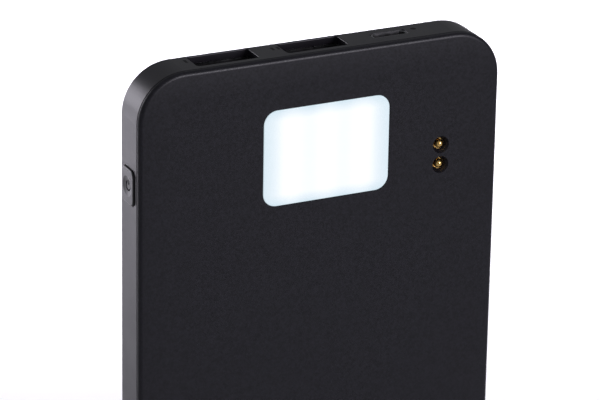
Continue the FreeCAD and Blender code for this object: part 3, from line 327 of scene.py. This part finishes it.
def screw_steel():
    """Zinc-plated screws with a faint yellow tone."""
    base = (0.50, 0.49, 0.45)
    made, tree, shader = material("screw_steel", base, 0.34, metallic=1.0)
    mottle(tree, shader, base, noise(tree, 0.5 * MM, detail=3.0), shades=(0.78, 1.0), rough=(0.28, 0.45))
    relief(tree, shader, noise(tree, 0.15 * MM), depth=0.003 * MM)
    return made


def nickel_strip():
    """Nickel strip with faint rolling lines."""
    base = (0.58, 0.56, 0.51)
    made, tree, shader = material("nickel_strip", base, 0.3, metallic=1.0)
    mottle(tree, shader, base, noise(tree, 0.9 * MM, detail=3.0), shades=(0.85, 1.0), rough=(0.25, 0.4))
    relief(tree, shader, noise(tree, 0.15 * MM, squeeze=(6.0, 1.0, 1.0)), depth=0.003 * MM)
    return made


def solder():
    """Solder joints: bright with a wrinkled, slightly dull skin."""
    base = (0.62, 0.62, 0.62)
    made, tree, shader = material("solder", base, 0.3, metallic=1.0)
    mottle(tree, shader, base, noise(tree, 0.5 * MM, detail=4.0), shades=(0.8, 1.0), rough=(0.22, 0.5))
    relief(tree, shader, noise(tree, 0.35 * MM, detail=3.0), depth=0.02 * MM)
    return made


# Electronics -------------------------------------------------------------------------------

def circuit_board():
    """Green solder mask over raised copper, on a finely dimpled board."""
    base = (0.010, 0.085, 0.045)
    made, tree, shader = material("circuit_board", base, 0.28)
    tracks = noise(tree, 1.8 * MM, detail=1.0, squeeze=(1.0, 1.0, 0.25))
    mottle(tree, shader, base, tracks, shades=(0.7, 1.6), rough=(0.22, 0.34))
    dimples = relief(tree, shader, cells(tree, 0.45 * MM), depth=0.004 * MM)
    raised = remap(tree, tracks, 0.0, 1.0, start=0.48, end=0.52)
    relief(tree, shader, raised, depth=0.03 * MM, below=dimples)
    return made


def chip_plastic():
    """Moulded black package with a fine sandy face."""
    base = (0.018, 0.018, 0.019)
    made, tree, shader = material("chip_plastic", base, 0.6, specular=0.4)
    mottle(tree, shader, base, noise(tree, 0.5 * MM, detail=4.0), shades=(0.75, 1.4), rough=(0.5, 0.7))
    relief(tree, shader, noise(tree, 0.08 * MM), depth=0.008 * MM)
    return made


def ferrite():
    """Pressed ferrite, matt and slightly mottled."""
    base = (0.045, 0.044, 0.046)
    made, tree, shader = material("ferrite", base, 0.62, specular=0.4)
    mottle(tree, shader, base, noise(tree, 0.8 * MM, detail=4.0), shades=(0.7, 1.35), rough=(0.52, 0.75))
    relief(tree, shader, noise(tree, 0.2 * MM, detail=4.0), depth=0.02 * MM)
    return made


def capacitor_ceramic():
    """Beige ceramic block."""
    base = (0.36, 0.25, 0.15)
    made, tree, shader = material("capacitor_ceramic", base, 0.5)
    mottle(tree, shader, base, noise(tree, 0.4 * MM, detail=3.0), shades=(0.82, 1.1), rough=(0.42, 0.58))
    relief(tree, shader, noise(tree, 0.1 * MM), depth=0.004 * MM)
    return made


def tantalum_resin():
    """Mustard yellow moulded resin."""
    base = (0.62, 0.36, 0.04)
    made, tree, shader = material("tantalum_resin", base, 0.45)
    mottle(tree, shader, base, noise(tree, 0.7 * MM, detail=3.0), shades=(0.85, 1.08), rough=(0.38, 0.55))
    relief(tree, shader, noise(tree, 0.12 * MM), depth=0.006 * MM)
    return made


def socket_plastic():
    """Black insulator of the sockets and the switch."""
    base = (0.014, 0.014, 0.015)
    made, tree, shader = material("socket_plastic", base, 0.42)
    mottle(tree, shader, base, noise(tree, 0.6 * MM, detail=3.0), shades=(0.8, 1.3), rough=(0.36, 0.5))
    relief(tree, shader, noise(tree, 0.15 * MM), depth=0.005 * MM)
    return made


# Battery -----------------------------------------------------------------------------------

def pouch_foil():
    """Laminated foil of the cell, drawn over the stack with shallow creases."""
    base = (0.66, 0.67, 0.69)
    made, tree, shader = material("pouch_foil", base, 0.32, metallic=1.0)
    mottle(tree, shader, base, noise(tree, 6 * MM, detail=4.0), shades=(0.88, 1.0), rough=(0.27, 0.42))
    broad = relief(tree, shader, noise(tree, 9 * MM, detail=3.0, squeeze=(1.0, 1.0, 0.4)), depth=0.12 * MM)
    relief(tree, shader, noise(tree, 0.5 * MM), depth=0.006 * MM, below=broad)
    return made


def amber_film():
    """Amber film tape, slightly rippled."""
    base = (0.60, 0.27, 0.015)
    made, tree, shader = material("amber_film", base, 0.18)
    mottle(tree, shader, base, noise(tree, 1.5 * MM, detail=3.0), shades=(0.8, 1.1), rough=(0.12, 0.28))
    relief(tree, shader, noise(tree, 1.0 * MM, detail=3.0), depth=0.02 * MM)
    return made


def foam_tape():
    """Dark open-celled foam."""
    base = (0.035, 0.035, 0.036)
    made, tree, shader = material("foam_tape", base, 0.85, specular=0.25)
    mottle(tree, shader, base, noise(tree, 0.6 * MM, detail=4.0), shades=(0.6, 1.5), rough=(0.8, 0.95))
    relief(tree, shader, cells(tree, 0.3 * MM), depth=0.06 * MM)
    return made


def lead_insulation(name, base):
    """Soft insulation of a battery lead."""
    made, tree, shader = material(name, base, 0.45)
    mottle(tree, shader, base, noise(tree, 1.2 * MM, detail=3.0), shades=(0.85, 1.1), rough=(0.38, 0.55))
    relief(tree, shader, noise(tree, 0.3 * MM), depth=0.006 * MM)
    return made


def lead_red():
    """Insulation of the positive lead."""
    return lead_insulation("lead_red", (0.45, 0.018, 0.018))


def lead_black():
    """Insulation of the negative lead."""
    return lead_insulation("lead_black", (0.015, 0.015, 0.016))


# Studio ------------------------------------------------------------------------------------

def floor():
    """Plain pale floor."""
    made, tree, shader = material("floor", FLOOR_COLOUR, 0.7, specular=0.2)
    mottle(tree, shader, FLOOR_COLOUR, noise(tree, 0.3), shades=(0.985, 1.0), rough=(0.66, 0.74))
    half = FLOOR_SIZE / 2
    mesh = bpy.data.meshes.new("floor")
    corners = [(-half, -half, 0), (half, -half, 0), (half, half, 0), (-half, half, 0)]
    mesh.from_pydata(corners, [], [(0, 1, 2, 3)])
    mesh.materials.append(made)
    sheet = bpy.data.objects.new("floor", mesh)
    sheet.location.z = -FLOOR_GAP
    bpy.context.scene.collection.objects.link(sheet)


def panel(name, place, target, size, radiance, spread):
    """Rectangular soft light that faces a target. The camera does not see it."""
    light = bpy.data.lights.new(name, "AREA")
    light.shape = "RECTANGLE"
    light.size, light.size_y = size
    light.energy = radiance * math.pi * size[0] * size[1]
    light.spread = math.radians(spread)
    light.color = LIGHT_COLOUR
    lamp = bpy.data.objects.new(name, light)
    lamp.location = place
    lamp.rotation_euler = (Vector(target) - Vector(place)).to_track_quat("-Z", "Y").to_euler()
    lamp.visible_camera = False
    bpy.context.scene.collection.objects.link(lamp)


def room():
    """White backdrop for the camera, and a dimmer even room light for the object."""
    world = bpy.data.worlds.new("room")
    world.use_nodes = True
    bpy.context.scene.world = world
    tree = world.node_tree
    dim = tree.nodes["Background"]
    dim.inputs["Color"].default_value = (*ROOM_COLOUR, 1.0)
    dim.inputs["Strength"].default_value = ROOM_LIGHT
    white = add(tree, "Background", Color=(*BACKDROP_COLOUR, 1.0), Strength=1.0)
    path = add(tree, "LightPath")
    mix = add(tree, "MixShader")
    tree.links.new(path.outputs["Is Camera Ray"], mix.inputs[0])
    tree.links.new(dim.outputs[0], mix.inputs[1])
    tree.links.new(white.outputs[0], mix.inputs[2])
    tree.links.new(mix.outputs[0], tree.nodes["World Output"].inputs["Surface"])


def lights():
    """Floor lights behind and on the right, one light from the back left, and a softbox in front."""
    panel("floor_light", *FLOOR_LIGHT)
    panel("back_left", *BACK_LEFT_LIGHT)
    panel("front", *FRONT_LIGHT)
    panel("right", *RIGHT_LIGHT)


def camera():
    """Camera from its turn, drop and roll about the target."""
    turn, drop, roll = (math.radians(a) for a in (CAMERA_TURN, CAMERA_DROP, CAMERA_ROLL))
    ahead = Vector((math.sin(turn) * math.cos(drop), math.cos(turn) * math.cos(drop), -math.sin(drop)))
    level = Vector((math.cos(turn), -math.sin(turn), 0.0))
    upright = level.cross(ahead)
    right = math.cos(roll) * level + math.sin(roll) * upright
    up = -math.sin(roll) * level + math.cos(roll) * upright
    data = bpy.data.cameras.new("camera")
    data.sensor_width = CAMERA_SENSOR
    data.lens = CAMERA_LENS
    data.shift_x, data.shift_y = CAMERA_SHIFT
    data.clip_start, data.clip_end = CAMERA_CLIP
    made = bpy.data.objects.new("camera", data)
    place = CAMERA_TARGET - CAMERA_DISTANCE * ahead
    made.matrix_world = Matrix.Translation(place) @ Matrix((right, up, -ahead)).transposed().to_4x4()
    bpy.context.scene.collection.objects.link(made)
    bpy.context.scene.camera = made


# Put it together ---------------------------------------------------------------------------

FINISHES = {make.__name__: make for make in (
    shell_plastic, cover_plastic, button_plastic, mark_print, icon_ink, opal_diffuser, phosphor,
    white_plastic, gold_plate, tin_plate, spring_steel, screw_steel, nickel_strip, solder,
    circuit_board, chip_plastic, ferrite, capacitor_ceramic, tantalum_resin, socket_plastic,
    pouch_foil, amber_film, foam_tape, lead_red, lead_black)}


def dress():
    """Gives every CAD node the material of its slot in the record."""
    made = {}
    for part in frame["record"]["subparts"]:
        slot = part["material_slot"]
        if slot not in made:
            made[slot] = FINISHES[slot]()
        node = frame["nodes"][part["node"]]
        node.data.materials.clear()
        node.data.materials.append(made[slot])


camera()
room()
lights()
floor()
dress()
bpy.context.scene.view_settings.view_transform = "Standard"
